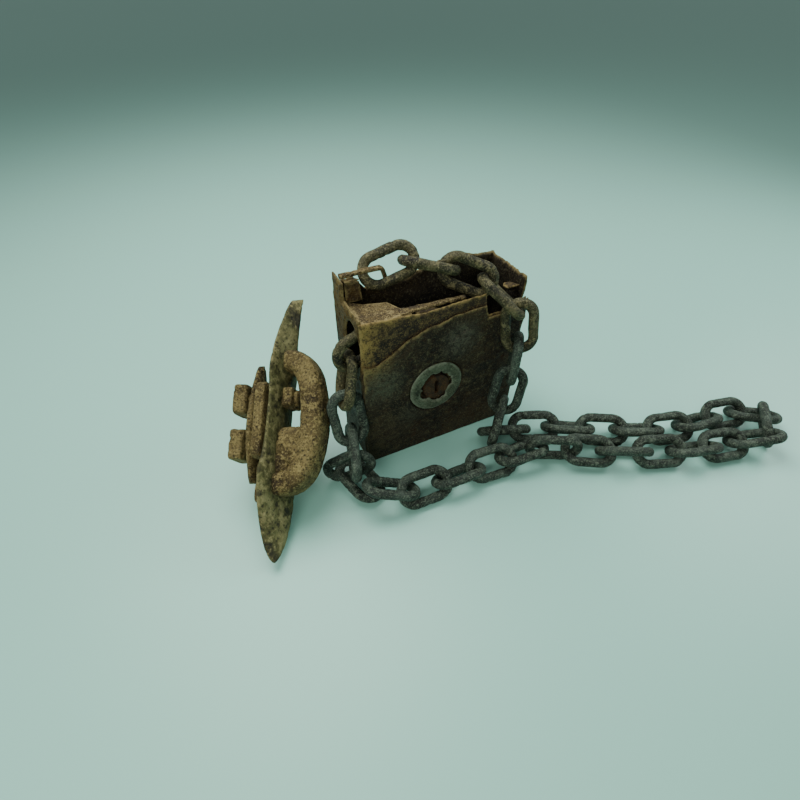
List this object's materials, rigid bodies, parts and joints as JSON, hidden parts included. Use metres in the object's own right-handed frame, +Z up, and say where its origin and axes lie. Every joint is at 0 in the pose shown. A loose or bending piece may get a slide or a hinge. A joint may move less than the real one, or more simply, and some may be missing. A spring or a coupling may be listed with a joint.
{
  "type": "box chain padlock with chain and post anchor",
  "caption": "Rusted upright box padlock with a torn open top, a link chain run through its slot and over its rim, and a bolted cast post anchor beside it.",
  "frame": {"origin": "centre of the case's bottom face", "axes": "+X along the case to the chain's far end, +Y from the case's front to its back, +Z up"},
  "size_m": [0.3294, 0.1799, 0.1205],
  "materials": {
    "case_rust": "heavily rusted steel sheet, dark brown-black with ochre patches",
    "inner_rust": "flaking ochre rust on inner sheet",
    "lock_steel": "dull grey-brown steel lock works",
    "rose_metal": "grey-green tarnished disc",
    "chain_iron": "dark grey-green pitted iron",
    "anchor_iron": "tan-ochre rusted casting with dark pits",
    "bolt_iron": "rusted square-headed bolts"
  },
  "bodies": {
    "case": {"rear_case": "case_rust", "front_plate": "inner_rust", "outer_skin": "case_rust", "top_plate": "inner_rust", "chain_strap": "inner_rust", "cylinder_rose": "rose_metal", "cylinder_barrel": "lock_steel", "bolt_guide_upper": "lock_steel", "bolt_guide_lower": "lock_steel", "bolt_spring": "lock_steel", "case_pillar": "lock_steel"},
    "key": {"key_plug": "inner_rust", "drive_cam": "lock_steel"},
    "bolt": {"locking_bolt": "lock_steel"},
    "anchor": {"anchor_eye": "anchor_iron", "backing_slab": "anchor_iron", "clamp_bar": "anchor_iron", "foot_wedge": "anchor_iron"},
    "square_bolt_a": {"square_bolt_upper": "bolt_iron"},
    "square_bolt_b": {"square_bolt_lower": "bolt_iron"},
    "link_01": {"chain_link_01": "chain_iron"},
    "link_02": {"chain_link_02": "chain_iron"},
    "link_03": {"chain_link_03": "chain_iron"},
    "link_04": {"chain_link_04": "chain_iron"},
    "link_05": {"chain_link_05": "chain_iron"},
    "link_06": {"chain_link_06": "chain_iron"},
    "link_07": {"chain_link_07": "chain_iron"},
    "link_08": {"chain_link_08": "chain_iron"},
    "link_09": {"chain_link_09": "chain_iron"},
    "link_10": {"chain_link_10": "chain_iron"},
    "link_11": {"chain_link_11": "chain_iron"},
    "link_12": {"chain_link_12": "chain_iron"},
    "link_13": {"chain_link_13": "chain_iron"},
    "link_14": {"chain_link_14": "chain_iron"},
    "link_15": {"chain_link_15": "chain_iron"},
    "link_16": {"chain_link_16": "chain_iron"},
    "link_17": {"chain_link_17": "chain_iron"},
    "link_18": {"chain_link_18": "chain_iron"},
    "link_19": {"chain_link_19": "chain_iron"},
    "link_20": {"chain_link_20": "chain_iron"},
    "link_21": {"chain_link_21": "chain_iron"},
    "link_22": {"chain_link_22": "chain_iron"},
    "link_23": {"chain_link_23": "chain_iron"},
    "link_24": {"chain_link_24": "chain_iron"},
    "link_25": {"chain_link_25": "chain_iron"},
    "link_26": {"chain_link_26": "chain_iron"},
    "link_27": {"chain_link_27": "chain_iron"},
    "link_28": {"chain_link_28": "chain_iron"},
    "link_29": {"chain_link_29": "chain_iron"},
    "link_30": {"chain_link_30": "chain_iron"},
    "link_31": {"chain_link_31": "chain_iron"},
    "link_32": {"chain_link_32": "chain_iron"},
    "link_33": {"chain_link_33": "chain_iron"},
    "link_34": {"chain_link_34": "chain_iron"},
    "link_35": {"chain_link_35": "chain_iron"},
    "link_36": {"chain_link_36": "chain_iron"},
    "link_37": {"chain_link_37": "chain_iron"}
  },
  "joints": [
    {"name": "key_turn", "type": "hinge", "parent": "case", "child": "key", "pos_m": [-0.006, -0.01, 0.045], "axis": [0, -1, 0], "range_deg": [0, 90]},
    {"name": "bolt_draw", "type": "slide", "parent": "case", "child": "bolt", "axis": [0, 0, -1], "range_m": [0, 0.0128], "deforming": ["bolt_spring"]},
    {"name": "anchor_away", "type": "slide", "parent": "case", "child": "anchor", "axis": [-1, 0, 0], "range_m": [0, 0.04]},
    {"name": "square_bolt_a_turn", "type": "hinge", "parent": "anchor", "child": "square_bolt_a", "pos_m": [-0.08946, 0.00739, 0.04677], "axis": [0.829, -0.5302, 0.1779], "continuous": true},
    {"name": "square_bolt_b_turn", "type": "hinge", "parent": "anchor", "child": "square_bolt_b", "pos_m": [-0.09894, -0.01179, 0.03383], "axis": [0.829, -0.5302, 0.1779], "continuous": true},
    {"name": "link_01_roll", "type": "hinge", "parent": "case", "child": "link_01", "pos_m": [-0.025, -0.0045, 0.08], "axis": [-0.9994, 0, -0.0349], "range_deg": [-3.5, 3.5]},
    {"name": "link_02_roll", "type": "hinge", "parent": "case", "child": "link_02", "pos_m": [-0.046, -0.0065, 0.0785], "axis": [-0.9467, -0.1669, -0.2756], "range_deg": [-3.5, 3.5]},
    {"name": "link_03_roll", "type": "hinge", "parent": "case", "child": "link_03", "pos_m": [-0.057, -0.011, 0.063], "axis": [-0.2933, -0.3258, -0.8988], "range_deg": [-3.5, 3.5]},
    {"name": "link_04_roll", "type": "hinge", "parent": "case", "child": "link_04", "pos_m": [-0.0605, -0.019, 0.0435], "axis": [0.0131, -0.3744, -0.9272], "range_deg": [-3.5, 3.5]},
    {"name": "link_05_roll", "type": "hinge", "parent": "case", "child": "link_05", "pos_m": [-0.0625, -0.028, 0.026], "axis": [-0.223, -0.7777, -0.5878], "range_deg": [-3.5, 3.5]},
    {"name": "link_06_roll", "type": "hinge", "parent": "case", "child": "link_06", "pos_m": [-0.0655, -0.027, 0.0145], "axis": [-0.6683, 0.4176, -0.6157], "range_deg": [-3.5, 3.5]},
    {"name": "link_07_roll", "type": "hinge", "parent": "case", "child": "link_07", "pos_m": [-0.0615, -0.0325, 0.0065], "axis": [0.3043, -0.9366, -0.1736], "range_deg": [-3.5, 3.5]},
    {"name": "link_08_roll", "type": "hinge", "parent": "case", "child": "link_08", "pos_m": [-0.05, -0.05, 0.012], "axis": [0.9045, -0.2939, -0.309], "range_deg": [-3.5, 3.5]},
    {"name": "link_09_roll", "type": "hinge", "parent": "case", "child": "link_09", "pos_m": [-0.0315, -0.055, 0.0085], "axis": [0.9994, -0.0349, 0], "range_deg": [-3.5, 3.5]},
    {"name": "link_10_roll", "type": "hinge", "parent": "case", "child": "link_10", "pos_m": [-0.01, -0.056, 0.008], "axis": [0.9994, -0.0349, 0], "range_deg": [-3.5, 3.5]},
    {"name": "link_11_roll", "type": "hinge", "parent": "case", "child": "link_11", "pos_m": [0.0115, -0.057, 0.0085], "axis": [0.9945, -0.1045, 0], "range_deg": [-3.5, 3.5]},
    {"name": "link_12_roll", "type": "hinge", "parent": "case", "child": "link_12", "pos_m": [0.032, -0.0585, 0.009], "axis": [0.9921, -0.1043, 0.0698], "range_deg": [-3.5, 3.5]},
    {"name": "link_13_roll", "type": "hinge", "parent": "case", "child": "link_13", "pos_m": [0.0505, -0.065, 0.0105], "axis": [0.8829, -0.4695, 0], "range_deg": [-3.5, 3.5]},
    {"name": "link_14_roll", "type": "hinge", "parent": "case", "child": "link_14", "pos_m": [0.069, -0.075, 0.009], "axis": [0.8808, -0.4683, -0.0698], "range_deg": [-3.5, 3.5]},
    {"name": "link_15_roll", "type": "hinge", "parent": "case", "child": "link_15", "pos_m": [0.0875, -0.085, 0.009], "axis": [0.8829, -0.4695, 0], "range_deg": [-3.5, 3.5]},
    {"name": "link_16_roll", "type": "hinge", "parent": "case", "child": "link_16", "pos_m": [0.107, -0.094, 0.0085], "axis": [0.9272, -0.3746, 0], "range_deg": [-3.5, 3.5]},
    {"name": "link_17_roll", "type": "hinge", "parent": "case", "child": "link_17", "pos_m": [0.127, -0.102, 0.0085], "axis": [0.9613, -0.2756, 0], "range_deg": [-3.5, 3.5]},
    {"name": "link_18_roll", "type": "hinge", "parent": "case", "child": "link_18", "pos_m": [0.147, -0.107, 0.0075], "axis": [0.9697, -0.2418, -0.0349], "range_deg": [-3.5, 3.5]},
    {"name": "link_19_roll", "type": "hinge", "parent": "case", "child": "link_19", "pos_m": [0.1665, -0.1125, 0.0095], "axis": [0.8487, -0.4513, 0.2756], "range_deg": [-3.5, 3.5]},
    {"name": "link_20_roll", "type": "hinge", "parent": "case", "child": "link_20", "pos_m": [0.183, -0.108, 0.01], "axis": [0.7431, 0.6691, 0], "range_deg": [-3.5, 3.5]},
    {"name": "link_21_roll", "type": "hinge", "parent": "case", "child": "link_21", "pos_m": [0.1875, -0.0975, 0.007], "axis": [-0.809, 0.5878, 0], "range_deg": [-3.5, 3.5]},
    {"name": "link_22_roll", "type": "hinge", "parent": "case", "child": "link_22", "pos_m": [0.1695, -0.0895, 0.0085], "axis": [-0.9776, 0.2078, 0.0349], "range_deg": [-3.5, 3.5]},
    {"name": "link_23_roll", "type": "hinge", "parent": "case", "child": "link_23", "pos_m": [0.1485, -0.0865, 0.008], "axis": [-0.997, 0.0697, 0.0349], "range_deg": [-3.5, 3.5]},
    {"name": "link_24_roll", "type": "hinge", "parent": "case", "child": "link_24", "pos_m": [0.1275, -0.0825, 0.008], "axis": [-0.9613, 0.2756, 0], "range_deg": [-3.5, 3.5]},
    {"name": "link_25_roll", "type": "hinge", "parent": "case", "child": "link_25", "pos_m": [0.1085, -0.0745, 0.008], "axis": [-0.913, 0.4065, 0.0349], "range_deg": [-3.5, 3.5]},
    {"name": "link_26_roll", "type": "hinge", "parent": "case", "child": "link_26", "pos_m": [0.089, -0.065, 0.008], "axis": [-0.866, 0.5, 0], "range_deg": [-3.5, 3.5]},
    {"name": "link_27_roll", "type": "hinge", "parent": "case", "child": "link_27", "pos_m": [0.071, -0.054, 0.008], "axis": [-0.866, 0.5, 0], "range_deg": [-3.5, 3.5]},
    {"name": "link_28_roll", "type": "hinge", "parent": "case", "child": "link_28", "pos_m": [0.052, -0.0445, 0.0085], "axis": [-0.9266, 0.3744, 0.0349], "range_deg": [-3.5, 3.5]},
    {"name": "link_29_roll", "type": "hinge", "parent": "case", "child": "link_29", "pos_m": [0.033, -0.039, 0.009], "axis": [-0.9272, 0.3746, 0], "range_deg": [-3.5, 3.5]},
    {"name": "link_30_roll", "type": "hinge", "parent": "case", "child": "link_30", "pos_m": [0.0285, -0.037, 0.0175], "axis": [0.5856, 0.5273, 0.6157], "range_deg": [-3.5, 3.5]},
    {"name": "link_31_roll", "type": "hinge", "parent": "case", "child": "link_31", "pos_m": [0.0355, -0.032, 0.036], "axis": [0.2174, 0.1061, 0.9703], "range_deg": [-3.5, 3.5]},
    {"name": "link_32_roll", "type": "hinge", "parent": "case", "child": "link_32", "pos_m": [0.0385, -0.0295, 0.057], "axis": [0.0502, 0.0485, 0.9976], "range_deg": [-3.5, 3.5]},
    {"name": "link_33_roll", "type": "hinge", "parent": "case", "child": "link_33", "pos_m": [0.039, -0.0275, 0.078], "axis": [-0.0706, 0.1586, 0.9848], "range_deg": [-3.5, 3.5]},
    {"name": "link_34_roll", "type": "hinge", "parent": "case", "child": "link_34", "pos_m": [0.0305, -0.0185, 0.094], "axis": [-0.4494, 0.7192, 0.5299], "range_deg": [-3.5, 3.5]},
    {"name": "link_35_roll", "type": "hinge", "parent": "case", "child": "link_35", "pos_m": [0.017, -0.0055, 0.1035], "axis": [-0.7969, 0.498, 0.342], "range_deg": [-3.5, 3.5]},
    {"name": "link_36_roll", "type": "hinge", "parent": "case", "child": "link_36", "pos_m": [-0.001, 0.0045, 0.1085], "axis": [-0.8996, 0.3635, 0.2419], "range_deg": [-3.5, 3.5]},
    {"name": "link_37_roll", "type": "hinge", "parent": "case", "child": "link_37", "pos_m": [-0.021, 0.0115, 0.11], "axis": [-0.956, 0.1005, -0.2756], "range_deg": [-3.5, 3.5]}
  ],
  "couplings": [
    {"joint": "bolt_draw", "follows": "key_turn", "m_per_rad": 0.0081029}
  ]
}
